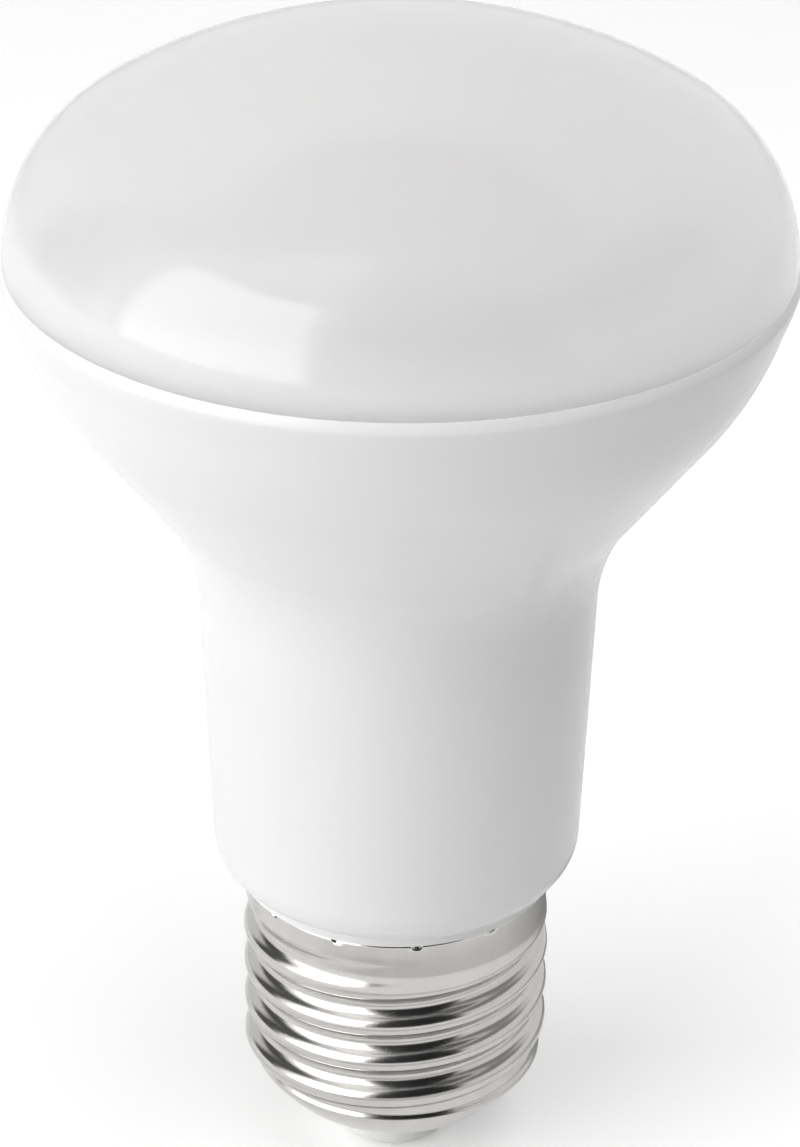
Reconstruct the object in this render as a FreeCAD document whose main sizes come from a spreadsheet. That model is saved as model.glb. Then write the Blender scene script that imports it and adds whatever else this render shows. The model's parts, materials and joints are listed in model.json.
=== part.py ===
import FreeCAD, Part
import math
import os
import re
import Sketcher

# Reflector lamp with a 63 mm head and a 27 mm screw cap.
# Origin: centre of the flat end of the centre contact. +Z runs along the lamp towards the diffuser.
# All lengths are millimetres and all angles degrees.

SIZES = {
    # Screw cap: rolled sheet with a right-hand round thread
    "crest_radius": 13.1,
    "thread_pitch": 3.629,
    "thread_round": 1.025,
    "top_crest": 21.1,
    "run_out_turn": 80,
    "run_in_turn": 220,
    "thread_turns": 3.75,
    "collar_radius": 12.9,
    "sheet_wall": 0.3,
    "cap_height": 27.0,
    "collar_blend": 1.6,
    "end_centre_radius": 4.64,
    "end_centre_height": 11.58,
    "end_round": 8.0,
    "end_hole": 6.3,
    "crimp_radius": 0.55,
    "crimp_depth": 0.3,
    "crimp_drop": 0.2,
    "crimp_turn": 8,
    "plain_collar": 1.5,
    # Insulator and centre contact
    "boss_radius": 4.75,
    "boss_edge": 0.35,
    "contact_proud": 0.4,
    "contact_radius": 3.5,
    "contact_sink": 0.3,
    "contact_edge": 0.2,
    "shank_radius": 1.1,
    "shank_rise": 7.0,
    "flange_radius": 8.0,
    "flange_thick": 1.6,
    "socket_radius": 3.0,
    # Housing: foot in the collar, neck, flared bell and rim
    "foot_gap": 0.05,
    "foot_seat": 2.1,
    "foot_bottom": 14.8,
    "foot_inset": 0.35,
    "foot_wall": 1.4,
    "foot_lip": 0.55,
    "foot_level": 0.4,
    "foot_round": 3.8,
    "floor_thick": 2.2,
    "neck_radius": 15.45,
    "neck_taper": 2.3,
    "neck_fillet": 16.9,
    "bell_angle": 37,
    "bell_round": 25.1,
    "bell_depth": 10.75,
    "housing_wall": 1.6,
    "rim_height": 56.65,
    "rim_radius": 31.5,
    "lip_height": 0.9,
    "lip_proud": 0.27,
    "ledge_depth": 3.05,
    # Diffuser
    "diffuser_wall": 1.2,
    "corner_round": 12.3,
    "dome_rise": 17.6,
    "edge_land": 0.3,
    "skirt_inset": 1.0,
    "skirt_gap": 0.08,
    "skirt_wall": 1.2,
    "bead_proud": 0.25,
    "bead_half": 0.35,
    "bead_drop": 0.95,
    # Heat sink, board and light-emitting packages
    "plate_thick": 1.2,
    "plate_gap": 0.15,
    "cup_gap": 0.2,
    "cup_wall": 1.0,
    "window_radius": 6.0,
    "board_gap": 0.63,
    "board_thick": 1.2,
    "board_slot_long": 6.6,
    "board_slot_wide": 3.0,
    "package_inset": 11.9,
    "package_long": 3.5,
    "package_wide": 2.8,
    "package_thick": 0.75,
    "phosphor_radius": 1.05,
    "phosphor_sink": 0.15,
    "screw_inset": 5.9,
    "screw_radius": 1.2,
    "screw_hole_gap": 0.15,
    "screw_head_radius": 2.3,
    "screw_head_rise": 1.5,
    "screw_reach": 4.5,
    "screw_socket": 0.7,
    # Driver board and what it carries
    "driver_thick": 1.2,
    "driver_half_width": 12.9,
    "driver_drop": 4.6,
    "tongue_rise": 14.0,
    "tongue_half_width": 7.0,
    "rail_gap": 0.05,
    "rail_thick": 1.1,
    "rail_top": 50.0,
    "rail_reach": 11.6,
    "pin_width": 0.64,
    "pin_spacing": 2.54,
    "pin_overlap": 3.0,
    "connector_long": 7.6,
    "connector_wide": 4.4,
    "connector_tall": 3.6,
    "pin_clear": 0.05,
    "lead_radius": 0.65,
    "live_lead_place": 3.0,
    "live_lead_turn": 22.0,
    "live_lead_meet": 13.0,
    "neutral_lead_place": 8.0,
    "neutral_lead_drop": 1.9,
    "neutral_lead_gap": 0.25,
    "seat_gap": 0.02,
    "part_gap": 1.5,
    "board_edge_gap": 2.6,
    "input_can_radius": 4.0,
    "input_can_tall": 11.5,
    "output_can_radius": 5.0,
    "output_can_tall": 12.5,
    "can_groove": 0.4,
    "can_groove_start": 1.2,
    "can_groove_wide": 0.8,
    "can_edge": 0.5,
    "core_wide": 10.4,
    "core_deep": 4.8,
    "core_leg_share": 0.24,
    "core_side_share": 0.135,
    "core_yoke_share": 0.154,
    "bobbin_wall": 0.5,
    "bobbin_flange": 0.6,
    "bobbin_brim": 0.75,
    "winding_gap": 0.51,
    "film_long": 8.0,
    "film_thick": 4.0,
    "film_tall": 7.0,
    "chip_long": 4.9,
    "chip_wide": 3.9,
    "chip_tall": 1.5,
    "bridge_long": 4.7,
    "bridge_tall": 2.4,
    "diode_long": 4.4,
    "diode_wide": 2.6,
    "diode_tall": 2.2,
    "resistor_long": 3.2,
    "resistor_wide": 1.6,
    "resistor_tall": 0.6,
    "fuse_radius": 1.2,
    "fuse_long": 6.0,
    "fuse_stand": 0.8,
    "fuse_leg_radius": 0.3,
    "fuse_leg_reach": 1.4,
}

CRIMP_COUNT = 12
PACKAGE_COUNT = 12
SCREW_COUNT = 2
COLUMNS = 36
ROWS_PER_TURN = 8
END_ROWS = 9

doc = FreeCAD.newDocument("reflector_lamp")
sheet = doc.addObject("Spreadsheet::Sheet", "Sizes")
for row, (alias, number) in enumerate(SIZES.items(), start=1):
    sheet.set("A%d" % row, alias)
    sheet.set("B%d" % row, str(number))
    sheet.setAlias("B%d" % row, alias)
doc.recompute()

nodes = []

# Lengths that several pieces share, written once in terms of the driving sizes
ROOT_RADIUS = ("(crest_radius - 2 * thread_round"
               " + sqrt(4 * thread_round ^ 2 - thread_pitch ^ 2 / 4))")
RIM_TOP = "(cap_height + rim_height)"
BELL_END_RADIUS = "(rim_radius - lip_proud)"
BELL_END_HEIGHT = "(cap_height + rim_height - lip_height)"
KNEE_HEIGHT = "(%s - bell_depth)" % BELL_END_HEIGHT
KNEE_RADIUS = ("(rim_radius - lip_proud + bell_round * cos(bell_angle * 1 deg)"
               " - sqrt(bell_round ^ 2 - (bell_depth - bell_round * sin(bell_angle * 1 deg)) ^ 2))")
BELL_CENTRE_RADIUS = "(%s - bell_round * cos(bell_angle * 1 deg))" % KNEE_RADIUS
BELL_CENTRE_HEIGHT = "(%s + bell_round * sin(bell_angle * 1 deg))" % KNEE_HEIGHT
LEDGE_HEIGHT = "(%s - ledge_depth)" % RIM_TOP
LEDGE_RADIUS = ("(%s + sqrt((bell_round - housing_wall) ^ 2 - (%s - %s) ^ 2))"
                % (BELL_CENTRE_RADIUS, BELL_CENTRE_HEIGHT, LEDGE_HEIGHT))
PLATE_TOP = "(%s + plate_thick)" % LEDGE_HEIGHT
BOARD_TOP = "(%s + board_thick)" % PLATE_TOP
SKIRT_RADIUS = "(rim_radius - lip_proud - skirt_inset)"
RIM_BORE = "(%s + skirt_gap)" % SKIRT_RADIUS
FOOT_RADIUS = "(collar_radius - sheet_wall - foot_gap)"
FOOT_BORE = "(%s - sheet_wall - foot_inset - foot_wall)" % ROOT_RADIUS
FLOOR_TOP = "(cap_height + floor_thick)"
END_INSIDE = "(end_centre_height - sqrt((end_round - sheet_wall) ^ 2 - (%s - end_centre_radius) ^ 2))"
FLANGE_BOTTOM = END_INSIDE % "flange_radius" + " + seat_gap"
BOARD_RADIUS = "(%s - skirt_wall - board_gap)" % SKIRT_RADIUS
PACKAGE_RING = "(%s - package_inset)" % BOARD_RADIUS
SCREW_PLACE = "(%s - screw_inset)" % BOARD_RADIUS
DRIVER_TOP = "(%s - driver_drop)" % LEDGE_HEIGHT
DRIVER_SHOULDER = "(%s - tongue_rise)" % DRIVER_TOP

# The driver's parts stand in two rows up the board, each with its place from the one below
INPUT_CAN_HEIGHT = "(%s + board_edge_gap + input_can_radius)" % FLOOR_TOP
CORE_HEIGHT = "(%s + input_can_radius + part_gap + core_wide / 2)" % INPUT_CAN_HEIGHT
OUTPUT_CAN_HEIGHT = "(%s + core_wide / 2 + part_gap + output_can_radius)" % CORE_HEIGHT
FUSE_PLACE = "(input_can_radius + part_gap + fuse_radius)"
FILM_HEIGHT = "(%s + board_edge_gap + part_gap + film_tall / 2)" % FLOOR_TOP
CHIP_HEIGHT = "(%s + film_tall / 2 + 2 * part_gap + chip_long / 2)" % FILM_HEIGHT
BRIDGE_PLACE = "(chip_wide / 2 + part_gap + bridge_long / 2)"
RESISTOR_HEIGHT = "(%s + chip_long / 2 + 2 * part_gap + resistor_wide / 2)" % CHIP_HEIGHT
DIODE_HEIGHT = "(%s + resistor_wide / 2 + 2 * part_gap + diode_long / 2)" % RESISTOR_HEIGHT
END_HOLE_HEIGHT = "(end_centre_height - sqrt(end_round ^ 2 - (end_hole - end_centre_radius) ^ 2))"


def bound(text):
    """Give each size in a formula its place in the sheet."""
    return re.sub(r"[a-z][a-z_]+", lambda m: "Sizes." + m.group() if m.group() in SIZES else m.group(), text)


def value(text):
    """Present number of a formula."""
    number = doc.getObject("Sizes").evalExpression(bound(text))
    return float(getattr(number, "Value", number))


def tie(thing, place, text):
    """Tie one property to a formula of the sheet's sizes."""
    thing.setExpression(place, bound(text))


def origin_plane(body, role):
    for feature in body.Origin.OriginFeatures:
        if feature.Role == role:
            return feature


def new_body(label):
    body = doc.addObject("PartDesign::Body", label)
    body.Label = label
    nodes.append(body)
    return body


def new_sketch(body, name, role, offset=None):
    sketch = body.newObject("Sketcher::SketchObject", name)
    sketch.AttachmentSupport = [(origin_plane(body, role), "")]
    sketch.MapMode = "FlatFace"
    if offset:
        tie(sketch, "AttachmentOffset.Base.z", offset)
    return sketch


def hold(sketch, kind, shape, end, text):
    """Hold a point's distance from the sketch's origin, along X or Y, to a formula."""
    if text == "0":
        sketch.addConstraint(Sketcher.Constraint("PointOnObject", shape, end, -2 if kind == "DistanceX" else -1))
        return
    index = sketch.addConstraint(Sketcher.Constraint(kind, -1, 1, shape, end, value(text)))
    tie(sketch, "Constraints[%d]" % index, text)


def hold_radius(sketch, shape, text):
    index = sketch.addConstraint(Sketcher.Constraint("Radius", shape, value(text)))
    tie(sketch, "Constraints[%d]" % index, text)


def hold_angle(sketch, shape, text):
    index = sketch.addConstraint(Sketcher.Constraint("Angle", shape, math.radians(value(text))))
    tie(sketch, "Constraints[%d]" % index, "(%s) * 1 deg" % text)


def outline(sketch, corners):
    """Closed outline of straight edges with each corner held to its two formulas."""
    points = [FreeCAD.Vector(value(x), value(y), 0) for x, y in corners]
    first = sketch.GeometryCount
    for start, end in zip(points, points[1:] + points[:1]):
        sketch.addGeometry(Part.LineSegment(start, end))
    count = len(points)
    for i in range(count):
        after = first + (i + 1) % count
        sketch.addConstraint(Sketcher.Constraint("Coincident", first + i, 2, after, 1))
        hold(sketch, "DistanceX", first + i, 1, corners[i][0])
        hold(sketch, "DistanceY", first + i, 1, corners[i][1])


def rectangle(sketch, low_x, high_x, low_y, high_y):
    outline(sketch, [(low_x, low_y), (high_x, low_y), (high_x, high_y), (low_x, high_y)])


def circle(sketch, x, y, radius):
    centre = FreeCAD.Vector(value(x), value(y), 0)
    shape = sketch.addGeometry(Part.Circle(centre, FreeCAD.Vector(0, 0, 1), value(radius)))
    hold(sketch, "DistanceX", shape, 3, x)
    hold(sketch, "DistanceY", shape, 3, y)
    hold_radius(sketch, shape, radius)


def revolve(body, sketch, name):
    feature = body.newObject("PartDesign::Revolution", name)
    feature.Profile = sketch
    feature.ReferenceAxis = (sketch, ["V_Axis"])
    feature.Angle = 360
    return feature


def turned(label, corners):
    """Turned or moulded round piece with a straight-edged section in the XZ plane."""
    body = new_body(label)
    sketch = new_sketch(body, label + "_section", "XZ_Plane")
    outline(sketch, corners)
    revolve(body, sketch, label + "_turn")
    return body


def pad(body, sketch, name, length):
    feature = body.newObject("PartDesign::Pad", name)
    feature.Profile = sketch
    tie(feature, "Length", length)
    return feature


def pocket(body, sketch, name, length, upwards=False):
    feature = body.newObject("PartDesign::Pocket", name)
    feature.Profile = sketch
    feature.Reversed = upwards
    tie(feature, "Length", length)
    return feature


def around(body, feature, name, count):
    """Repeat a feature round the lamp's axis."""
    pattern = body.newObject("PartDesign::PolarPattern", name)
    pattern.Originals = [feature]
    pattern.Axis = (origin_plane(body, "Z_Axis"), [""])
    pattern.Angle = 360
    pattern.Occurrences = count
    body.Tip = pattern
    return pattern


def arc(centre, radius, start, end):
    """Arc of a circle in a sketch, counter-clockwise between two points."""
    turn = [math.atan2(p.y - centre.y, p.x - centre.x) for p in (start, end)]
    return Part.ArcOfCircle(Part.Circle(centre, FreeCAD.Vector(0, 0, 1), radius), turn[0], turn[1])


def make_diffuser():
    """Opal dome: crown and corner arcs, an edge that lies on the rim, a skirt with a snap bead."""
    body = new_body("diffuser")
    sketch = new_sketch(body, "diffuser_section", "XZ_Plane")
    edge_radius = value(BELL_END_RADIUS)
    corner = value("corner_round")
    rise = value("dome_rise")
    wall = value("diffuser_wall")
    crown = ((edge_radius - corner) ** 2 + rise ** 2 - corner ** 2) / (2 * (rise - corner))
    land = value(RIM_TOP) + value("edge_land")
    corner_centre = FreeCAD.Vector(edge_radius - corner, land, 0)
    crown_centre = FreeCAD.Vector(0, land + rise - crown, 0)
    ray = (corner_centre - crown_centre).normalize()
    inner_radius = value(SKIRT_RADIUS) - value("skirt_wall")
    inner_rise = math.sqrt((corner - wall) ** 2 - (inner_radius - corner_centre.x) ** 2)
    top = FreeCAD.Vector(0, land + rise, 0)
    shapes = [
        arc(crown_centre, crown, crown_centre + ray * crown, top),
        arc(corner_centre, corner, FreeCAD.Vector(edge_radius, land, 0), crown_centre + ray * crown),
        arc(corner_centre, corner - wall, FreeCAD.Vector(inner_radius, land + inner_rise, 0),
            crown_centre + ray * (crown - wall)),
        arc(crown_centre, crown - wall, crown_centre + ray * (crown - wall), top - FreeCAD.Vector(0, wall, 0)),
    ]
    for shape in shapes:
        sketch.addGeometry(shape)
    sketch.addConstraint(Sketcher.Constraint("Tangent", 0, 1, 1, 2))
    sketch.addConstraint(Sketcher.Constraint("Tangent", 2, 2, 3, 1))
    for shape in (0, 3):
        hold(sketch, "DistanceX", shape, 3, "0")
        hold(sketch, "DistanceX", shape, 2, "0")
    sketch.addConstraint(Sketcher.Constraint("Coincident", 2, 3, 1, 3))
    hold(sketch, "DistanceY", 0, 2, "%s + edge_land + dome_rise" % RIM_TOP)
    hold(sketch, "DistanceY", 1, 1, "%s + edge_land" % RIM_TOP)
    hold(sketch, "DistanceX", 1, 1, BELL_END_RADIUS)
    hold(sketch, "DistanceY", 1, 3, "%s + edge_land" % RIM_TOP)
    hold_radius(sketch, 1, "corner_round")
    hold_radius(sketch, 2, "corner_round - diffuser_wall")
    hold(sketch, "DistanceY", 3, 2, "%s + edge_land + dome_rise - diffuser_wall" % RIM_TOP)
    bead = "(%s - bead_drop)" % RIM_TOP
    skirt_end = "(%s + plate_gap)" % PLATE_TOP
    path = [
        (BELL_END_RADIUS, RIM_TOP),
        (SKIRT_RADIUS, RIM_TOP),
        (SKIRT_RADIUS, bead + " + bead_half"),
        (SKIRT_RADIUS + " + bead_proud", bead),
        (SKIRT_RADIUS, bead + " - bead_half"),
        (SKIRT_RADIUS, skirt_end),
        (SKIRT_RADIUS + " - skirt_wall", skirt_end),
    ]
    points = [FreeCAD.Vector(value(x), value(y), 0) for x, y in path]
    chain = [FreeCAD.Vector(edge_radius, land, 0)] + points + [FreeCAD.Vector(inner_radius, land + inner_rise, 0)]
    first = sketch.GeometryCount
    for start, end in zip(chain, chain[1:]):
        sketch.addGeometry(Part.LineSegment(start, end))
    last = sketch.GeometryCount - 1
    sketch.addConstraint(Sketcher.Constraint("Coincident", 1, 1, first, 1))
    sketch.addConstraint(Sketcher.Constraint("Coincident", last, 2, 2, 1))
    sketch.addConstraint(Sketcher.Constraint("Vertical", last))
    for i, (x, y) in enumerate(path):
        sketch.addConstraint(Sketcher.Constraint("Coincident", first + i, 2, first + i + 1, 1))
        hold(sketch, "DistanceX", first + i, 2, x)
        hold(sketch, "DistanceY", first + i, 2, y)
    axis = sketch.addGeometry(Part.LineSegment(top - FreeCAD.Vector(0, wall, 0), top))
    sketch.addConstraint(Sketcher.Constraint("Coincident", axis, 1, 3, 2))
    sketch.addConstraint(Sketcher.Constraint("Coincident", axis, 2, 0, 2))
    revolve(body, sketch, "diffuser_turn")
    return body


def bell_points(inset):
    """Starting places of the housing's outline, moved inwards by inset."""
    taper = math.radians(value("neck_taper"))
    slope = math.radians(value("bell_angle"))
    fillet = value("neck_fillet") + inset
    bell = value("bell_round") - inset
    neck_out = FreeCAD.Vector(math.cos(taper), -math.sin(taper), 0)
    slope_out = FreeCAD.Vector(math.cos(slope), -math.sin(slope), 0)
    foot = FreeCAD.Vector(value("neck_radius"), value(FLOOR_TOP), 0)
    knee = FreeCAD.Vector(value(KNEE_RADIUS), value(KNEE_HEIGHT), 0)
    reach_neck = neck_out.dot(foot) + value("neck_fillet")
    reach_slope = slope_out.dot(knee) + value("neck_fillet")
    cross = neck_out.x * slope_out.y - neck_out.y * slope_out.x
    centre = FreeCAD.Vector((reach_neck * slope_out.y - reach_slope * neck_out.y) / cross,
                            (neck_out.x * reach_slope - slope_out.x * reach_neck) / cross, 0)
    bell_centre = knee - slope_out * value("bell_round")
    return {
        "neck_start": foot - neck_out * inset,
        "fillet_low": centre - neck_out * fillet,
        "fillet_centre": centre,
        "fillet_high": centre - slope_out * fillet,
        "knee": bell_centre + slope_out * bell,
        "bell_centre": bell_centre,
        "bell": bell,
        "fillet": fillet,
        "neck_out": neck_out,
    }


def make_housing():
    """White moulding: foot for the cap, tapered neck, flared bell, rim with a rounded lip."""
    body = new_body("housing")
    sketch = new_sketch(body, "housing_section", "XZ_Plane")
    outer = bell_points(0)
    inner = bell_points(value("housing_wall"))
    foot_round = value("foot_round")
    foot_centre_height = value("cap_height + foot_level + foot_round")
    lean = outer["neck_out"]
    foot_centre = outer["neck_start"] - lean * foot_round
    foot_centre = foot_centre + FreeCAD.Vector(math.tan(math.radians(value("neck_taper"))), 1, 0) * (
        foot_centre_height - foot_centre.y)
    lip_radius = value(FOOT_RADIUS) + value("sheet_wall") + value("foot_gap") + value("foot_lip")
    lip_height = foot_centre.y - math.sqrt(foot_round ** 2 - (lip_radius - foot_centre.x) ** 2)
    foot_low = FreeCAD.Vector(lip_radius, lip_height, 0)
    foot_high = foot_centre + lean * foot_round
    end = FreeCAD.Vector(value(BELL_END_RADIUS), value(BELL_END_HEIGHT), 0)
    lip_top = FreeCAD.Vector(value(BELL_END_RADIUS), value(RIM_TOP), 0)
    lip_bulge = (value("lip_height") ** 2 / 4 + value("lip_proud") ** 2) / (2 * value("lip_proud"))
    lip_centre = FreeCAD.Vector(value("rim_radius") - lip_bulge, (end.y + lip_top.y) / 2, 0)
    ledge = FreeCAD.Vector(value(LEDGE_RADIUS), value(LEDGE_HEIGHT), 0)
    floor = FreeCAD.Vector(inner["neck_start"].x, value(FLOOR_TOP), 0)

    def add(shape):
        return sketch.addGeometry(shape)

    def line(start, finish):
        return add(Part.LineSegment(start, finish))

    def join(first, first_end, second, second_end, kind="Coincident"):
        sketch.addConstraint(Sketcher.Constraint(kind, first, first_end, second, second_end))

    foot = add(arc(foot_centre, foot_round, foot_low, foot_high))
    neck = line(foot_high, outer["fillet_low"])
    fillet = add(arc(outer["fillet_centre"], outer["fillet"], outer["fillet_high"], outer["fillet_low"]))
    slope = line(outer["fillet_high"], outer["knee"])
    bell = add(arc(outer["bell_centre"], outer["bell"], outer["knee"], end))
    lip = add(arc(lip_centre, lip_bulge, end, lip_top))
    join(foot, 2, neck, 1, "Tangent")
    join(neck, 2, fillet, 2, "Tangent")
    join(fillet, 1, slope, 1, "Tangent")
    join(slope, 2, bell, 1, "Tangent")
    join(bell, 2, lip, 1)
    hold_radius(sketch, foot, "foot_round")
    hold(sketch, "DistanceY", foot, 3, "cap_height + foot_level + foot_round")
    hold_angle(sketch, neck, "90 - neck_taper")
    hold_radius(sketch, fillet, "neck_fillet")
    hold_angle(sketch, slope, "90 - bell_angle")
    hold_radius(sketch, bell, "bell_round")
    hold(sketch, "DistanceX", bell, 2, BELL_END_RADIUS)
    hold(sketch, "DistanceY", bell, 2, BELL_END_HEIGHT)
    hold(sketch, "DistanceY", slope, 2, KNEE_HEIGHT)
    hold(sketch, "DistanceX", lip, 2, BELL_END_RADIUS)
    hold(sketch, "DistanceY", lip, 2, RIM_TOP)
    hold_radius(sketch, lip, "(lip_height ^ 2 / 4 + lip_proud ^ 2) / (2 * lip_proud)")
    # The neck's radius is stated at the level of the floor
    mark = add(Part.Point(outer["neck_start"]))
    sketch.toggleConstruction(mark)
    sketch.addConstraint(Sketcher.Constraint("PointOnObject", mark, 1, neck))
    hold(sketch, "DistanceX", mark, 1, "neck_radius")
    hold(sketch, "DistanceY", mark, 1, FLOOR_TOP)

    inner_bell = add(arc(inner["bell_centre"], inner["bell"], inner["knee"], ledge))
    inner_slope = line(inner["knee"], inner["fillet_high"])
    inner_fillet = add(arc(inner["fillet_centre"], inner["fillet"], inner["fillet_high"], inner["fillet_low"]))
    inner_neck = line(inner["fillet_low"], floor)
    join(inner_bell, 1, inner_slope, 1, "Tangent")
    join(inner_slope, 2, inner_fillet, 1, "Tangent")
    join(inner_fillet, 2, inner_neck, 1, "Tangent")
    join(inner_bell, 3, bell, 3)
    join(inner_fillet, 3, fillet, 3)
    hold_radius(sketch, inner_bell, "bell_round - housing_wall")
    hold_radius(sketch, inner_fillet, "neck_fillet + housing_wall")
    sketch.addConstraint(Sketcher.Constraint("Parallel", inner_neck, neck))
    hold(sketch, "DistanceY", inner_bell, 2, LEDGE_HEIGHT)
    hold(sketch, "DistanceY", inner_neck, 2, FLOOR_TOP)

    groove = "(%s - bead_drop)" % RIM_TOP
    rim_path = [
        (RIM_BORE, RIM_TOP),
        (RIM_BORE, groove + " + bead_half"),
        (RIM_BORE + " + bead_proud", groove),
        (RIM_BORE, groove + " - bead_half"),
        (RIM_BORE, LEDGE_HEIGHT),
    ]
    chain(sketch, lip, 2, rim_path, inner_bell, 2)
    seat_bottom = "(cap_height - foot_seat)"
    stub = "(%s - sheet_wall - foot_inset)" % ROOT_RADIUS
    foot_path = [
        (FOOT_BORE, FLOOR_TOP),
        (FOOT_BORE, "foot_bottom"),
        (stub, "foot_bottom"),
        (stub, seat_bottom),
        (FOOT_RADIUS, seat_bottom),
        (FOOT_RADIUS, "cap_height"),
        ("collar_radius + foot_lip", "cap_height"),
    ]
    chain(sketch, inner_neck, 2, foot_path, foot, 1)
    sketch.addConstraint(Sketcher.Constraint("Vertical", sketch.GeometryCount - 1))
    revolve(body, sketch, "housing_turn")

    # Two pairs of rails hold the driver board's edges
    rails = new_sketch(body, "rail_outline", "XY_Plane", "cap_height + floor_thick / 2")
    wall_inside = "(neck_radius - housing_wall / 2)"
    near = "(driver_thick / 2 + rail_gap)"
    far = "(driver_thick / 2 + rail_gap + rail_thick)"
    for side in ("-1", "1"):
        for face in ("-1", "1"):
            x_pair = sorted(["%s * rail_reach" % side, "%s * %s" % (side, wall_inside)], key=value)
            y_pair = sorted(["%s * %s" % (face, near), "%s * %s" % (face, far)], key=value)
            rectangle(rails, x_pair[0], x_pair[1], y_pair[0], y_pair[1])
    pad(body, rails, "rails", "rail_top - cap_height - floor_thick / 2")

    # Pockets in the foot take the crimped dents of the collar
    dents = new_sketch(body, "dent_outline", "XZ_Plane")
    dents.AttachmentOffset = FreeCAD.Placement(
        FreeCAD.Vector(0, 0, 0), FreeCAD.Rotation(FreeCAD.Vector(0, 1, 0), value("crimp_turn")))
    tie(dents, "AttachmentOffset.Rotation.Angle", "crimp_turn * 1 deg")
    tie(dents, "AttachmentOffset.Base.x", FOOT_RADIUS + " * sin(crimp_turn * 1 deg)")
    tie(dents, "AttachmentOffset.Base.z", FOOT_RADIUS + " * cos(crimp_turn * 1 deg)")
    half = "(crimp_radius + sheet_wall + foot_gap)"
    rectangle(dents, "-" + half, half, "cap_height - crimp_drop - " + half, "cap_height")
    dent = pocket(body, dents, "dent_pocket", "crimp_depth + foot_gap")
    around(body, dent, "dent_pockets", CRIMP_COUNT)
    return body


def chain(sketch, start_shape, start_end, path, finish_shape, finish_end):
    """Straight edges from one shape's end through held corners to another's end."""
    points = [sketch.getPoint(start_shape, start_end)]
    points += [FreeCAD.Vector(value(x), value(y), 0) for x, y in path]
    points.append(sketch.getPoint(finish_shape, finish_end))
    first = sketch.GeometryCount
    for start, end in zip(points, points[1:]):
        sketch.addGeometry(Part.LineSegment(start, end))
    sketch.addConstraint(Sketcher.Constraint("Coincident", start_shape, start_end, first, 1))
    for i, (x, y) in enumerate(path):
        sketch.addConstraint(Sketcher.Constraint("Coincident", first + i, 2, first + i + 1, 1))
        hold(sketch, "DistanceX", first + i, 2, x)
        hold(sketch, "DistanceY", first + i, 2, y)
    last = sketch.GeometryCount - 1
    sketch.addConstraint(Sketcher.Constraint("Coincident", last, 2, finish_shape, finish_end))


def add_shape(label, shape):
    """Give a shape that is built by formula its own node."""
    feature = doc.addObject("Part::Feature", label)
    feature.Shape = shape
    feature.Label = label
    nodes.append(feature)


def smooth_step(part, whole):
    """Rise from 0 to 1 as part goes from 0 to whole."""
    share = min(max(part / whole, 0), 1)
    return share * share * (3 - 2 * share)


def thread_wave(offset):
    """Height of the thread's section, 1 on a crest and 0 in a root, offset along the axis from the crest."""
    pitch = value("thread_pitch")
    bend = value("thread_round")
    depth = value("crest_radius") - value(ROOT_RADIUS)
    if abs(offset) <= pitch / 4:
        return 1 - (bend - math.sqrt(bend ** 2 - offset ** 2)) / depth
    return (bend - math.sqrt(bend ** 2 - (pitch / 2 - abs(offset)) ** 2)) / depth


def thread_share(turn, height):
    """Share of the thread's depth that stands at a place, with both ends of the thread faded out."""
    pitch = value("thread_pitch")
    along = (height - value("top_crest")) / pitch - turn / 360
    crest = round(along)
    wave = thread_wave((along - crest) * pitch)
    ridge = smooth_step(360 * crest + turn + 360 * value("thread_turns"), value("run_in_turn"))
    groove = 1 - smooth_step(360 * math.floor(along) + turn, value("run_out_turn"))
    return ridge * (wave + (1 - groove) * (1 - wave))


def envelope(height):
    """Radius over the crests, which falls to the collar's radius above the thread."""
    step = smooth_step(height - value("top_crest") - value("thread_pitch") / 4, value("collar_blend"))
    return value("crest_radius") + step * (value("collar_radius") - value("crest_radius"))


def thread_radius(turn, height):
    root = value(ROOT_RADIUS)
    return root + thread_share(turn, height) * (envelope(height) - root)


def poles_through(points, closed):
    """Poles of an even cubic spline through the points, by repeated correction."""
    poles = list(points)
    count = len(points)
    for _ in range(24):
        fitted = []
        for i in range(count):
            if closed or 0 < i < count - 1:
                fitted.append((poles[i - 1] + poles[i] * 4 + poles[(i + 1) % count]) * (1 / 6))
            else:
                fitted.append(poles[i])
        poles = [pole + point - near for pole, point, near in zip(poles, points, fitted)]
    return poles


def round_surface(columns):
    """Smooth surface round the axis through columns of points that run down the piece."""
    ring_poles = [poles_through(list(ring), True) for ring in zip(*columns)]
    poles = [poles_through(list(column), False) for column in zip(*ring_poles)]
    poles = [[c[0] * 2 - c[1]] + c + [c[-1] * 2 - c[-2]] for c in poles]
    poles = poles[-1:] + poles[:-1]
    rows = len(poles[0])
    surface = Part.BSplineSurface()
    surface.buildFromPolesMultsKnots(
        poles, [1] * (len(poles) + 1), [1] * (rows + 4),
        list(range(len(poles) + 1)), list(range(rows + 4)), True, False, 3, 3)
    surface.segment(0, len(poles), 3, rows)
    return surface.toShape()


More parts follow.
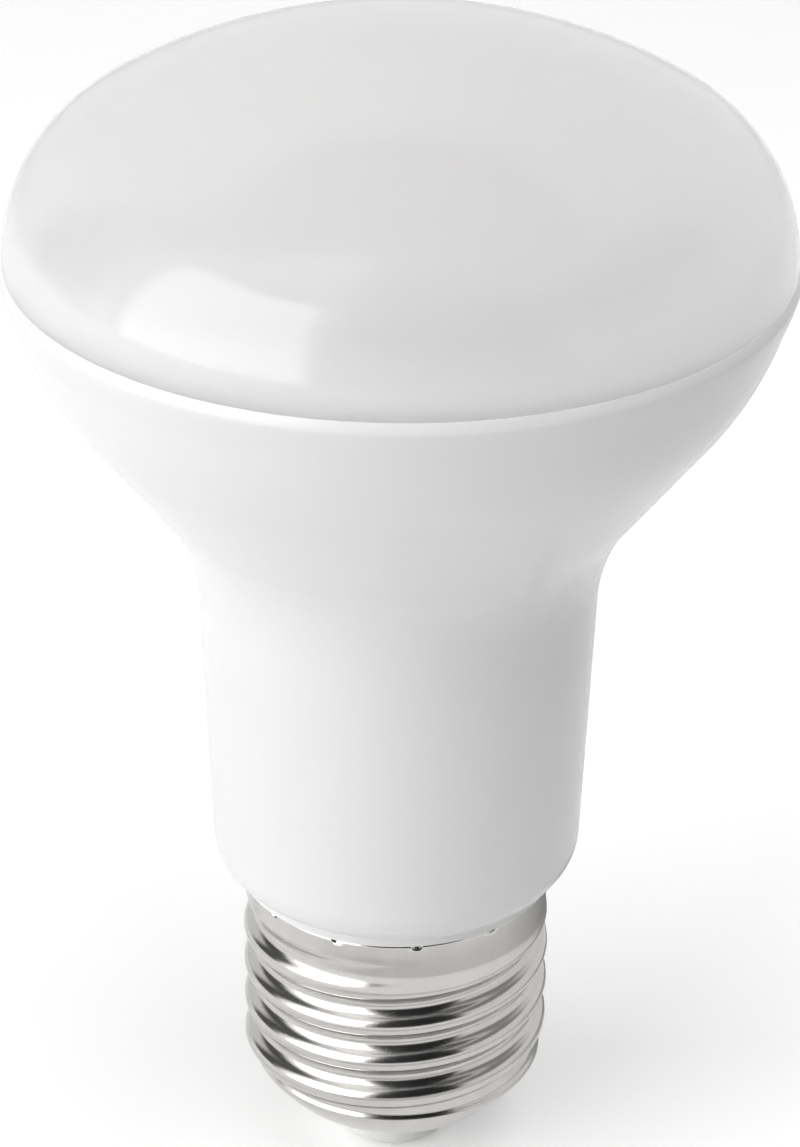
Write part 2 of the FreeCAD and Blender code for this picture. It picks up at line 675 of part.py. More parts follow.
def make_cap_shell():
    """Rolled sheet: plain collar with crimped dents, right-hand round thread, turned-in end."""
    wall = value("sheet_wall")
    root = value(ROOT_RADIUS)
    end_centre = (value("end_centre_radius"), value("end_centre_height"))
    end_round = value("end_round")
    first_angle = math.acos((root - end_centre[0]) / end_round)
    corner = end_centre[1] - end_round * math.sin(first_angle)
    top = value("cap_height - plain_collar")
    count = round((top - corner) / (value("thread_pitch") / ROWS_PER_TURN))
    heights = [top + (corner - top) * i / count for i in range(count + 1)]
    outer, inner = [], []
    for column in range(COLUMNS):
        turn = 360 * column / COLUMNS
        ray = FreeCAD.Vector(-math.cos(math.radians(turn)), -math.sin(math.radians(turn)), 0)
        outer.append([])
        inner.append([])

        def place(points, radius, height):
            points.append(ray * radius + FreeCAD.Vector(0, 0, height))

        for height in heights:
            radius = thread_radius(turn, height)
            place(outer[-1], radius, height)
            near = 0.01
            lean = (thread_radius(turn, height + near) - thread_radius(turn, height - near)) / (2 * near)
            size = math.hypot(1, lean)
            if height in (heights[0], heights[-1]):
                lean, size = 0, 1
            place(inner[-1], radius - wall / size, height + wall * lean / size)
        for points, inset in ((outer[-1], 0), (inner[-1], wall)):
            start = math.acos((root - inset - end_centre[0]) / (end_round - inset))
            finish = math.acos((value("end_hole") - end_centre[0]) / (end_round - inset))
            for i in range(1, END_ROWS + 1):
                angle = start + (finish - start) * i / END_ROWS
                height = end_centre[1] - (end_round - inset) * math.sin(angle)
                rest = thread_share(turn, height) * (value("crest_radius") - root)
                place(points, end_centre[0] + (end_round - inset) * math.cos(angle) + rest, height)
    faces = [round_surface(outer), round_surface(inner)]
    rims = [sorted((edge for edge in face.Edges if edge.isClosed()), key=lambda edge: edge.BoundBox.ZMax)
            for face in faces]
    edges = [Part.makeRuledSurface(rims[0][end], rims[1][end]) for end in (0, 1)]
    shell = Part.makeShell(faces + edges)
    shell.sewShape()
    thread = Part.makeSolid(shell)
    if thread.Volume < 0:
        thread.reverse()
    add_shape("cap_shell", thread.fuse(crimped_collar(), 0.001))


def crimped_collar():
    """Plain top of the collar with a row of dents punched in at its edge, each with its sheet behind it."""
    radius = value("collar_radius")
    wall = value("sheet_wall")
    top = value("cap_height")
    plain = value("plain_collar")
    base = FreeCAD.Vector(0, 0, top - plain)
    collar = Part.makeCylinder(radius, plain, base).cut(Part.makeCylinder(radius - wall, plain, base))
    below = Part.makeCylinder(radius, plain, base)
    cups, punches = [], []
    for i in range(CRIMP_COUNT):
        turn = math.radians(value("crimp_turn") + 360 * i / CRIMP_COUNT)
        ray = FreeCAD.Vector(math.sin(turn), -math.cos(turn), 0)
        floor = ray * (radius - value("crimp_depth")) + FreeCAD.Vector(0, 0, top - value("crimp_drop"))
        cups.append(Part.makeCylinder(value("crimp_radius") + wall, value("crimp_depth") + wall / 2,
                                      floor - ray * wall, ray).common(below))
        punches.append(Part.makeCylinder(value("crimp_radius"), wall + value("crimp_depth"), floor, ray))
    return collar.fuse(cups).cut(punches)


def make_insulator():
    """White moulded plug: flange inside the cap, boss outside it, recess for the contact's head."""
    head = "contact_proud + contact_sink"
    bore = "shank_radius + seat_gap"
    recess = "contact_radius + foot_gap"
    plug = "end_hole - foot_gap"
    top = FLANGE_BOTTOM + " + flange_thick"
    return turned("cap_insulator", [
        (bore, head),
        (recess, head),
        (recess, "contact_proud"),
        ("boss_radius - boss_edge", "contact_proud"),
        ("boss_radius", "contact_proud + boss_edge"),
        ("boss_radius", END_HOLE_HEIGHT + " - (end_hole - boss_radius) / 2"),
        (plug, END_HOLE_HEIGHT),
        (plug, FLANGE_BOTTOM),
        ("flange_radius", FLANGE_BOTTOM),
        ("flange_radius", top),
        ("socket_radius", top),
        (bore, top),
    ])


def make_contact():
    """Contact: flat head outside the cap and a shank that takes the live lead."""
    head = "contact_proud + contact_sink"
    return turned("centre_contact", [
        ("0", "0"),
        ("contact_radius - contact_edge", "0"),
        ("contact_radius", "contact_edge"),
        ("contact_radius", head),
        ("shank_radius", head),
        ("shank_radius", "shank_rise"),
        ("0", "shank_rise"),
    ])


def screw_places():
    """Directions of the board's screws, as pairs of cosine and sine."""
    turns = [360 * i / SCREW_COUNT for i in range(SCREW_COUNT)]
    return [(round(math.cos(math.radians(t)), 6), round(math.sin(math.radians(t)), 6)) for t in turns]


def screw_circles(sketch, radius):
    for x, y in screw_places():
        circle(sketch, SCREW_PLACE + " * %s" % x, SCREW_PLACE + " * %s" % y if y else "0", radius)


def make_heat_sink():
    """Pressed aluminium: flat plate on the housing's ledge with a tapered cup against the bell."""
    plate = RIM_BORE + " - plate_gap"
    upper = LEDGE_RADIUS + " - cup_gap"
    lower = KNEE_RADIUS + " - housing_wall * cos(bell_angle * 1 deg) - cup_gap"
    low = KNEE_HEIGHT + " + housing_wall * sin(bell_angle * 1 deg)"
    body = turned("heat_sink", [
        ("window_radius", PLATE_TOP),
        (plate, PLATE_TOP),
        (plate, LEDGE_HEIGHT),
        (upper, LEDGE_HEIGHT),
        (lower, low),
        (lower + " - cup_wall", low),
        (upper + " - cup_wall", LEDGE_HEIGHT),
        ("window_radius", LEDGE_HEIGHT),
    ])
    holes = new_sketch(body, "screw_holes", "XY_Plane", PLATE_TOP)
    screw_circles(holes, "screw_radius + seat_gap")
    pocket(body, holes, "screw_hole_cut", "plate_thick * 2")
    return body


PIN_Y = "(driver_thick / 2 + pin_width / 2)"


def make_led_board():
    """Round metal-core board with a slot for the driver's pins and two screw holes."""
    body = new_body("led_board")
    sketch = new_sketch(body, "led_board_outline", "XY_Plane", PLATE_TOP)
    circle(sketch, "0", "0", BOARD_RADIUS)
    rectangle(sketch, "-board_slot_long / 2", "board_slot_long / 2",
              "-%s - board_slot_wide / 2" % PIN_Y, "-%s + board_slot_wide / 2" % PIN_Y)
    screw_circles(sketch, "screw_radius + screw_hole_gap")
    pad(body, sketch, "led_board_plate", "board_thick")
    return body


def make_packages():
    """Ring of light-emitting packages, each a small block with a sunk phosphor window."""
    for i in range(PACKAGE_COUNT):
        label = "led_%02d" % (i + 1)
        turn = 360 * (i + 0.5) / PACKAGE_COUNT
        body = new_body(label)
        base = new_sketch(body, label + "_outline", "XY_Plane")
        rectangle(base, "-package_wide / 2", "package_wide / 2", "-package_long / 2", "package_long / 2")
        pad(body, base, label + "_block", "package_thick")
        window = new_sketch(body, label + "_window", "XY_Plane", "package_thick")
        circle(window, "0", "0", "phosphor_radius")
        pocket(body, window, label + "_sink", "phosphor_sink")
        tie(body, "Placement.Base.x", PACKAGE_RING + " * cos(%g deg)" % turn)
        tie(body, "Placement.Base.y", PACKAGE_RING + " * sin(%g deg)" % turn)
        tie(body, "Placement.Base.z", BOARD_TOP)
        tie(body, "Placement.Rotation.Angle", "%g deg" % turn)


def make_screws():
    """Two pan-head screws with a cross of sockets, through the board into the plate."""
    body = new_body("board_screws")
    body.AllowCompound = True
    heads = new_sketch(body, "screw_heads", "XY_Plane", BOARD_TOP)
    screw_circles(heads, "screw_head_radius")
    pad(body, heads, "screw_head_pad", "screw_head_rise")
    shanks = new_sketch(body, "screw_shanks", "XY_Plane", BOARD_TOP)
    screw_circles(shanks, "screw_radius")
    shank = pad(body, shanks, "screw_shank_pad", "screw_reach")
    shank.Reversed = True
    sockets = new_sketch(body, "screw_sockets", "XY_Plane", BOARD_TOP + " + screw_head_rise")
    screw_circles(sockets, "screw_socket")
    pocket(body, sockets, "screw_socket_cut", "screw_head_rise / 2")
    return body


def make_driver_board():
    """Upright board on the neck's floor, with a narrow tongue up into the bell."""
    body = new_body("driver_board")
    sketch = new_sketch(body, "driver_board_outline", "XZ_Plane", "driver_thick / 2")
    outline(sketch, [
        ("-driver_half_width", FLOOR_TOP),
        ("driver_half_width", FLOOR_TOP),
        ("driver_half_width", DRIVER_SHOULDER),
        ("tongue_half_width", DRIVER_SHOULDER),
        ("tongue_half_width", DRIVER_TOP),
        ("-tongue_half_width", DRIVER_TOP),
        ("-tongue_half_width", DRIVER_SHOULDER),
        ("-driver_half_width", DRIVER_SHOULDER),
    ])
    pad(body, sketch, "driver_board_plate", "driver_thick").Reversed = True
    return body


def make_pins():
    """Two square pins that carry the driver's output up to the board."""
    body = new_body("output_pins")
    body.AllowCompound = True
    sketch = new_sketch(body, "pin_outline", "XY_Plane", DRIVER_TOP + " - pin_overlap")
    for side in ("-1", "1"):
        middle = "%s * pin_spacing / 2" % side
        rectangle(sketch, middle + " - pin_width / 2", middle + " + pin_width / 2",
                  "-%s - pin_width / 2" % PIN_Y, "-driver_thick / 2")
    pad(body, sketch, "pin_bars", "%s + connector_tall - %s + pin_overlap" % (BOARD_TOP, DRIVER_TOP))
    return body


def make_connector():
    """Socket on the board, with two square holes that the pins come up through."""
    body = new_body("board_connector")
    sketch = new_sketch(body, "connector_outline", "XY_Plane", BOARD_TOP)
    rectangle(sketch, "-connector_long / 2", "connector_long / 2",
              "-%s - connector_wide / 2" % PIN_Y, "-%s + connector_wide / 2" % PIN_Y)
    half = "(pin_width / 2 + pin_clear)"
    for side in ("-1", "1"):
        middle = "%s * pin_spacing / 2" % side
        rectangle(sketch, middle + " - " + half, middle + " + " + half,
                  "-%s - %s" % (PIN_Y, half), "-%s + %s" % (PIN_Y, half))
    pad(body, sketch, "connector_block", "connector_tall")
    return body


def make_can(label, radius, tall, height):
    """Electrolytic capacitor: a can with a rolled groove, standing on the board's front face."""
    groove = "can_groove_start"
    body = turned(label, [
        ("0", "0"),
        (radius, "0"),
        (radius, groove),
        (radius + " - can_groove", groove + " + can_groove_wide / 2"),
        (radius, groove + " + can_groove_wide"),
        (radius, tall + " - can_edge"),
        (radius + " - can_edge", tall),
        ("0", tall),
    ])
    body.Placement = FreeCAD.Placement(FreeCAD.Vector(0, 0, 0), FreeCAD.Rotation(FreeCAD.Vector(1, 0, 0), 90))
    tie(body, "Placement.Base.y", "-driver_thick / 2")
    tie(body, "Placement.Base.z", height)
    return body


CORE_LEG = "(core_wide * core_leg_share)"
CORE_SIDE = "(core_wide * core_side_share)"
CORE_YOKE = "(core_wide * core_yoke_share)"
WINDING_WALL = ("(core_wide / 2 - %s - winding_gap - %s / 2 - 2 * seat_gap - bobbin_wall)"
                % (CORE_SIDE, CORE_LEG))
BOBBIN_REACH = "(core_deep / 2 + 2 * seat_gap + bobbin_wall + %s + bobbin_brim)" % WINDING_WALL
CORE_Y = "(driver_thick / 2 + %s)" % BOBBIN_REACH


def make_transformer():
    """Ferrite core of two E halves, bobbin with two flanges and the winding between them."""
    window_low = CORE_LEG + " / 2"
    window_high = "core_wide / 2 - " + CORE_SIDE
    half_window = "(core_wide / 2 - %s)" % CORE_YOKE
    core = new_body("transformer_core")
    sketch = new_sketch(core, "core_outline", "XZ_Plane", CORE_Y + " + core_deep / 2")
    rectangle(sketch, "-core_wide / 2", "core_wide / 2",
              CORE_HEIGHT + " - core_wide / 2", CORE_HEIGHT + " + core_wide / 2")
    for low, high in ((window_low, window_high), ("-(%s)" % window_high, "-(%s)" % window_low)):
        rectangle(sketch, low, high, CORE_HEIGHT + " - " + half_window, CORE_HEIGHT + " + " + half_window)
    pad(core, sketch, "core_block", "core_deep").Reversed = True

    bobbin = new_body("transformer_bobbin")
    inner_x = "(%s / 2 + seat_gap)" % CORE_LEG
    inner_y = "(core_deep / 2 + seat_gap)"
    low = "%s - %s + seat_gap" % (CORE_HEIGHT, half_window)
    high = "%s + %s - seat_gap" % (CORE_HEIGHT, half_window)
    tube = new_sketch(bobbin, "bobbin_tube", "XY_Plane", low)
    frame(tube, inner_x + " + bobbin_wall", inner_y + " + bobbin_wall")
    frame(tube, inner_x, inner_y)
    pad(bobbin, tube, "bobbin_tube_pad", "2 * %s - 2 * seat_gap" % half_window)
    for name, place in (("low", low), ("high", high + " - bobbin_flange")):
        flange = new_sketch(bobbin, "bobbin_flange_" + name, "XY_Plane", place)
        frame(flange, window_high + " - seat_gap", BOBBIN_REACH)
        frame(flange, inner_x, inner_y)
        pad(bobbin, flange, "bobbin_flange_pad_" + name, "bobbin_flange")

    winding = new_body("transformer_winding")
    start = low + " + bobbin_flange + seat_gap"
    coil = new_sketch(winding, "winding_outline", "XY_Plane", start)
    frame(coil, "%s + bobbin_wall + seat_gap + %s" % (inner_x, WINDING_WALL),
          "%s + bobbin_wall + seat_gap + %s" % (inner_y, WINDING_WALL))
    frame(coil, inner_x + " + bobbin_wall + seat_gap", inner_y + " + bobbin_wall + seat_gap")
    pad(winding, coil, "winding_block", "2 * %s - 2 * bobbin_flange - 4 * seat_gap" % half_window)


def frame(sketch, half_x, half_y):
    """Rectangle centred on the transformer's core, seen along the lamp's axis."""
    rectangle(sketch, "-(%s)" % half_x, half_x, "-%s - (%s)" % (CORE_Y, half_y), "-%s + (%s)" % (CORE_Y, half_y))


def back_block(label, middle_x, wide, tall, height, long):
    """Block that sits on the board's back face: wide along X, long along Z, tall away from the board."""
    body = new_body(label)
    sketch = new_sketch(body, label + "_outline", "XZ_Plane", "-driver_thick / 2")
    rectangle(sketch, "%s - %s / 2" % (middle_x, wide), "%s + %s / 2" % (middle_x, wide),
              "%s - %s / 2" % (height, long), "%s + %s / 2" % (height, long))
    pad(body, sketch, label + "_block", tall).Reversed = True
    return body


def wire_along(corners, bend, radius):
    """Round wire along straight runs joined by tangent arcs."""
    edges = []
    start = corners[0]
    for before, corner, after in zip(corners, corners[1:], corners[2:]):
        back = (before - corner).normalize()
        ahead = (after - corner).normalize()
        half_turn = (math.pi - back.getAngle(ahead)) / 2
        cut = bend * math.tan(half_turn)
        middle = corner + (back + ahead).normalize() * (bend / math.cos(half_turn) - bend)
        arc_start = corner + back * cut
        arc_end = corner + ahead * cut
        edges.append(Part.LineSegment(start, arc_start).toShape())
        edges.append(Part.Arc(arc_start, middle, arc_end).toShape())
        start = arc_end
    edges.append(Part.LineSegment(start, corners[-1]).toShape())
    section = Part.Wire(Part.Circle(corners[0], corners[1] - corners[0], radius).toShape())
    return Part.Wire(edges).makePipeShell([section], True, False)


def make_fuse():
    """Axial fuse resistor near the board's edge, with both legs bent to the board."""
    board = -value("driver_thick / 2")
    away = board - value("fuse_stand + fuse_radius")
    place = value(FUSE_PLACE)
    half = value("fuse_long / 2 + fuse_leg_reach")
    middle = value(INPUT_CAN_HEIGHT)
    wire = wire_along([
        FreeCAD.Vector(place, board, middle - half),
        FreeCAD.Vector(place, away, middle - half),
        FreeCAD.Vector(place, away, middle + half),
        FreeCAD.Vector(place, board, middle + half),
    ], 2 * value("fuse_leg_radius"), value("fuse_leg_radius"))
    barrel = Part.makeCylinder(value("fuse_radius"), value("fuse_long"),
                               FreeCAD.Vector(place, away, middle - value("fuse_long") / 2))
    add_shape("fuse_resistor", barrel.fuse(wire))


def make_leads():
    """Live lead to the contact's shank and neutral lead to the cap's wall below the foot."""
    beside = value("driver_thick / 2 + lead_radius")
    top = value(FLOOR_TOP + " + board_edge_gap")
    live = value("live_lead_place")
    radius = value("lead_radius")
    add_shape("live_lead", wire_along([
        FreeCAD.Vector(live, beside, top),
        FreeCAD.Vector(live, beside, value("live_lead_turn")),
        FreeCAD.Vector(0, 0, value("live_lead_meet")),
        FreeCAD.Vector(0, 0, value("shank_rise")),
    ], 4 * radius, radius))
    neutral = -value("neutral_lead_place")
    low = value("foot_bottom - neutral_lead_drop")
    wall = -value("%s - sheet_wall - neutral_lead_gap" % ROOT_RADIUS)
    add_shape("neutral_lead", wire_along([
        FreeCAD.Vector(neutral, beside, top),
        FreeCAD.Vector(neutral, beside, low),
        FreeCAD.Vector(wall, beside, low),
    ], 3 * radius, radius))


def check_and_write():
    doc.recompute()
    for thing in doc.Objects:
        if "Invalid" in thing.State or "Error" in thing.State:
            raise RuntimeError("%s failed to compute" % thing.Name)
    for node in nodes:
        if node.Shape.isNull() or not node.Shape.isValid() or not node.Shape.Solids:
            raise RuntimeError("%s has no sound solid" % node.Label)
    os.makedirs("parts", exist_ok=True)
    for node in nodes:
        node.Shape.exportStep("parts/%s.step" % node.Label)
        print("%-20s %9.2f mm3 %2d solid(s)" % (node.Label, node.Shape.Volume, len(node.Shape.Solids)))


make_diffuser()
make_housing()
make_cap_shell()
make_insulator()
make_contact()
make_heat_sink()
make_led_board()
make_packages()
make_screws()
make_connector()
make_driver_board()
make_pins()
make_can("input_capacitor", "input_can_radius", "input_can_tall", INPUT_CAN_HEIGHT)
make_can("output_capacitor", "output_can_radius", "output_can_tall", OUTPUT_CAN_HEIGHT)
make_transformer()
back_block("film_capacitor", "0", "film_long", "film_thick", FILM_HEIGHT, "film_tall")
back_block("driver_chip", "0", "chip_wide", "chip_tall", CHIP_HEIGHT, "chip_long")
back_block("bridge_rectifier", BRIDGE_PLACE, "bridge_long", "bridge_tall", CHIP_HEIGHT, "bridge_long")
back_block("output_diode", "0", "diode_wide", "diode_tall", DIODE_HEIGHT, "diode_long")
back_block("sense_resistor", "0", "resistor_long", "resistor_tall", RESISTOR_HEIGHT, "resistor_wide")
make_fuse()
make_leads()
check_and_write()
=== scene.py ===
import json
import math

import bmesh
import bpy
from mathutils import Matrix, Vector


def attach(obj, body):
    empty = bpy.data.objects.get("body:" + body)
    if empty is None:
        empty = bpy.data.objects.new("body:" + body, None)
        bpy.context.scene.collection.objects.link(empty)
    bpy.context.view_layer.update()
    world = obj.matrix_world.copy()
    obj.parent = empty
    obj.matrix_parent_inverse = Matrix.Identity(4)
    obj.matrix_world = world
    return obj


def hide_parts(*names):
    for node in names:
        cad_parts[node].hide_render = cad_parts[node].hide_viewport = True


MM = 0.001

# Screw cap: sizes of the part's source, in millimetres and degrees
CREST_RADIUS = 13.1
THREAD_PITCH = 3.629
THREAD_ROUND = 1.025
TOP_CREST = 21.1
RUN_IN_TURN = 220
THREAD_TURNS = 3.75
COLLAR_RADIUS = 12.9
SHEET_WALL = 0.3
CAP_HEIGHT = 27.0
COLLAR_BLEND = 1.6
END_CENTRE = (4.64, 11.58)
END_ROUND = 8.0
END_HOLE = 6.3
CRIMP_COUNT = 12
CRIMP_DROP = 0.2
CRIMP_TURN = 8
ROOT_RADIUS = CREST_RADIUS - 2 * THREAD_ROUND + math.sqrt(4 * THREAD_ROUND ** 2 - THREAD_PITCH ** 2 / 4)

# Fine forms of the cap that follow the photograph: the thread's run-out, the dents with their flat share,
# the step below the last root, and the collar's edge curled in
RUN_OUT_TURN = 106
CRIMP_DEPTH = 0.22
CRIMP_REACH = 0.64
CRIMP_FLAT = 0.45
SHOULDER_PROUD = 0.24
SHOULDER_TOP = 9.05
SHOULDER_STEP = 0.5
SHOULDER_FADE = 2.2
CURL_DEPTH = 0.11
CURL_START = 26.5
CURL_HEIGHT = 0.3

# Diffuser and housing: sizes of the part's source, in millimetres
RIM_TOP = 83.65
BELL_END = (31.23, 82.75)
CORNER_ROUND = 12.3
DOME_RISE = 17.6
EDGE_LAND = 0.3
DIFFUSER_WALL = 1.2
SKIRT_RADIUS = 30.23
SKIRT_WALL = 1.2
SKIRT_END = 81.95
RIM_BORE = 30.31
BEAD_HEIGHT = 82.7
BEAD_HALF = 0.35
BEAD_PROUD = 0.25
LEDGE_HEIGHT = 80.6
HOUSING_WALL = 1.6
NECK_RADIUS = 15.45
NECK_TAPER = math.radians(2.3)
NECK_FILLET = 16.9
BELL_ANGLE = math.radians(37)
BELL_ROUND = 25.1
KNEE_HEIGHT = 72.0
FLOOR_TOP = 29.2
FOOT_ROUND = 3.8
FOOT_CENTRE_HEIGHT = 31.2
LIP_EDGE = 13.45
LIP_PROUD = 0.27
FOOT_RADIUS = 12.55
FOOT_SEAT = 24.9
FOOT_BOTTOM = 14.8
STUB_RADIUS = ROOT_RADIUS - 0.65
FOOT_BORE = STUB_RADIUS - 1.4
RAIL_REACH = (11.6, 14.6)
RAIL_SIDES = (0.65, 1.75)
RAIL_ENDS = (28.2, 50.0)

# Fine forms of the diffuser and housing: where the lip starts to blend into the bell, the power of its curve,
# and the small chamfers at the diffuser's edge and at the housing's lower edge
LIP_BLEND = 79.5
LIP_CURVE = 1.6
EDGE_CHAMFER = 0.06
LIP_EDGE_CHAMFER = 0.08

# Fineness of the meshes
CAP_COLUMNS = 360
COLLAR_ROWS = 30
COLLAR_ROW_STEP = 0.04
THREAD_ROWS = 190
END_ROWS = 30
LIP_ROWS = 12
LATHE_COLUMNS = 320
CARD_COLUMNS = 48
CARD_ROWS = 16

# Opal plastic: its subsurface weight at the rim, and the height in millimetres from which that is 1
OPAL_AT_RIM = 0.9
OPAL_FULL_HEIGHT = 87.2

# Studio: half the floor's side in millimetres, its glow for the background's rays, the world's level on the
# lamp, and the place that the lamps aim at, in metres
FLOOR_HALF = 3000
FLOOR_GLOW = 0.3
FILL_LEVEL = 0.19
LIGHT_AIM = (0, 0, 0.06)

# Camera, fitted to the photograph: place in millimetres, angles in degrees
CAMERA_PLACE = (0.136, -275.376, 202.344)
CAMERA_DIP = 28.182
CAMERA_ROLL = 0.454
CAMERA_LENS = 119.4


def smooth_step(part, whole):
    """0 to 1, with level ends, as part goes from 0 to whole."""
    share = min(max(part / whole, 0), 1)
    return share * share * (3 - 2 * share)


def thread_wave(offset):
    """Height of the thread's section, 1 on a crest and 0 in a root, offset along the axis from the crest."""
    depth = CREST_RADIUS - ROOT_RADIUS
    if abs(offset) <= THREAD_PITCH / 4:
        return 1 - (THREAD_ROUND - math.sqrt(THREAD_ROUND ** 2 - offset ** 2)) / depth
    rest = THREAD_PITCH / 2 - abs(offset)
    return (THREAD_ROUND - math.sqrt(THREAD_ROUND ** 2 - rest ** 2)) / depth


def thread_share(turn, height):
    """Share of the thread's depth that stands at a place, with both ends of the thread faded out."""
    along = (height - TOP_CREST) / THREAD_PITCH - turn / 360
    crest = round(along)
    wave = thread_wave((along - crest) * THREAD_PITCH)
    ridge = smooth_step(360 * crest + turn + 360 * THREAD_TURNS, RUN_IN_TURN)
    groove = 1 - smooth_step(360 * math.floor(along) + turn, RUN_OUT_TURN)
    return ridge * (wave + (1 - groove) * (1 - wave))


def envelope(height):
    """Radius of the thread's crests, which blends into the collar's above the top crest."""
    step = smooth_step(height - TOP_CREST - THREAD_PITCH / 4, COLLAR_BLEND)
    return CREST_RADIUS + step * (COLLAR_RADIUS - CREST_RADIUS)


def thread_radius(turn, height):
    """Outer radius of the threaded sheet at a place."""
    return ROOT_RADIUS + thread_share(turn, height) * (envelope(height) - ROOT_RADIUS)


def shoulder(height):
    """Small round step where the last root meets the turned-in end."""
    drop = SHOULDER_TOP - height
    fade = 1 - smooth_step(drop - SHOULDER_STEP, SHOULDER_FADE)
    return SHOULDER_PROUD * smooth_step(drop, SHOULDER_STEP) * fade


def mesh_object(name, verts, faces, smooth=True):
    data = bpy.data.meshes.new(name)
    data.from_pydata([Vector(v) * MM for v in verts], [], faces)
    data.validate()
    for polygon in data.polygons:
        polygon.use_smooth = smooth
    piece = bpy.data.objects.new(name, data)
    bpy.context.collection.objects.link(piece)
    return piece


def crimp_depth(turn, height):
    """How far the sheet is pushed in at a place by the row of round dents."""
    step = 360 / CRIMP_COUNT
    place = turn - 90 - CRIMP_TURN
    away = math.radians((place + step / 2) % step - step / 2) * COLLAR_RADIUS
    up = height - (CAP_HEIGHT - CRIMP_DROP)
    reach = math.hypot(away, up)
    return CRIMP_DEPTH * (1 - smooth_step(reach - CRIMP_REACH * CRIMP_FLAT, CRIMP_REACH * (1 - CRIMP_FLAT)))


def cap_profile(turn):
    """Outer points of one column, from the collar's edge down and round to the end hole."""
    first = math.acos((ROOT_RADIUS - END_CENTRE[0]) / END_ROUND)
    corner = END_CENTRE[1] - END_ROUND * math.sin(first)
    heights = [CAP_HEIGHT - COLLAR_ROW_STEP * i for i in range(COLLAR_ROWS)]
    last = heights[-1]
    heights += [last + (corner - last) * i / THREAD_ROWS for i in range(1, THREAD_ROWS + 1)]
    points = [(thread_radius(turn, height) + shoulder(height), height) for height in heights]
    finish = math.acos((END_HOLE - END_CENTRE[0]) / END_ROUND)
    for i in range(1, END_ROWS + 1):
        angle = first + (finish - first) * i / END_ROWS
        height = END_CENTRE[1] - END_ROUND * math.sin(angle)
        rest = thread_share(turn, height) * (CREST_RADIUS - ROOT_RADIUS)
        points.append((END_CENTRE[0] + END_ROUND * math.cos(angle) + rest + shoulder(height), height))
    return points


def build_cap():
    """Finer rolled sheet with its dents, from the formula that the part's source uses."""
    verts, faces = [], []
    for column in range(CAP_COLUMNS):
        turn = 360 * column / CAP_COLUMNS
        cos = -math.cos(math.radians(turn))
        sin = -math.sin(math.radians(turn))
        outer = [(r - crimp_depth(turn, z) - CURL_DEPTH * smooth_step(z - CURL_START, CURL_HEIGHT), z)
                 for r, z in cap_profile(turn)]
        inner = []
        for i, (r, z) in enumerate(outer):
            before = outer[max(i - 1, 0)]
            after = outer[min(i + 1, len(outer) - 1)]
            along = Vector((after[0] - before[0], after[1] - before[1])).normalized()
            normal = Vector((along.y, -along.x))
            inner.append((r + normal.x * SHEET_WALL, z + normal.y * SHEET_WALL))
        inner[0] = (outer[0][0] - SHEET_WALL, outer[0][1])
        ring = outer + inner[::-1]
        verts += [(r * cos, r * sin, z) for r, z in ring]
    count = len(ring)
    for column in range(CAP_COLUMNS):
        after = (column + 1) % CAP_COLUMNS
        for i in range(count):
            j = (i + 1) % count
            faces.append((column * count + i, column * count + j, after * count + j, after * count + i))
    return mesh_object("cap_shell_detail", verts, faces)


def arc_points(centre, radius, start, end, count):
    """Points along an arc in the (r, z) plane between two angles in degrees."""
    return [(centre[0] + radius * math.cos(math.radians(start + (end - start) * i / count)),
             centre[1] + radius * math.sin(math.radians(start + (end - start) * i / count)))
            for i in range(count + 1)]


def angle_at(centre, point):
    return math.degrees(math.atan2(point[1] - centre[1], point[0] - centre[0]))


def arc_between(centre, start, end, count):
    """Points along the arc round centre from one point to another."""
    radius = math.hypot(start[0] - centre[0], start[1] - centre[1])
    return arc_points(centre, radius, angle_at(centre, start), angle_at(centre, end), count)


def lathe(name, outline):
    """Closed round piece from a closed outline of (r, z) points that may touch the axis."""
    verts, faces = [], []
    index = []
    for r, z in outline:
        if r < 1e-6:
            index.append([len(verts)] * LATHE_COLUMNS)
            verts.append((0, 0, z))
            continue
        index.append(list(range(len(verts), len(verts) + LATHE_COLUMNS)))
        for column in range(LATHE_COLUMNS):
            turn = 2 * math.pi * column / LATHE_COLUMNS
            verts.append((r * math.cos(turn), r * math.sin(turn), z))
    for row, after in zip(index, index[1:] + index[:1]):
        for column in range(LATHE_COLUMNS):
            right = (column + 1) % LATHE_COLUMNS
            corners = [row[column], row[right], after[right], after[column]]
            corners = [c for i, c in enumerate(corners) if c != corners[i - 1]]
            if len(set(corners)) > 2:
                faces.append(corners)
    piece = mesh_object(name, verts, faces)
    tidy_mesh(piece)
    return piece


def tidy_mesh(piece, sharp=32):
    """Face every polygon outwards and keep the edges sharper than an angle crisp."""
    mesh = bmesh.new()
    mesh.from_mesh(piece.data)
    bmesh.ops.recalc_face_normals(mesh, faces=mesh.faces)
    mesh.to_mesh(piece.data)
    mesh.free()
    piece.data.set_sharp_from_angle(angle=math.radians(sharp))


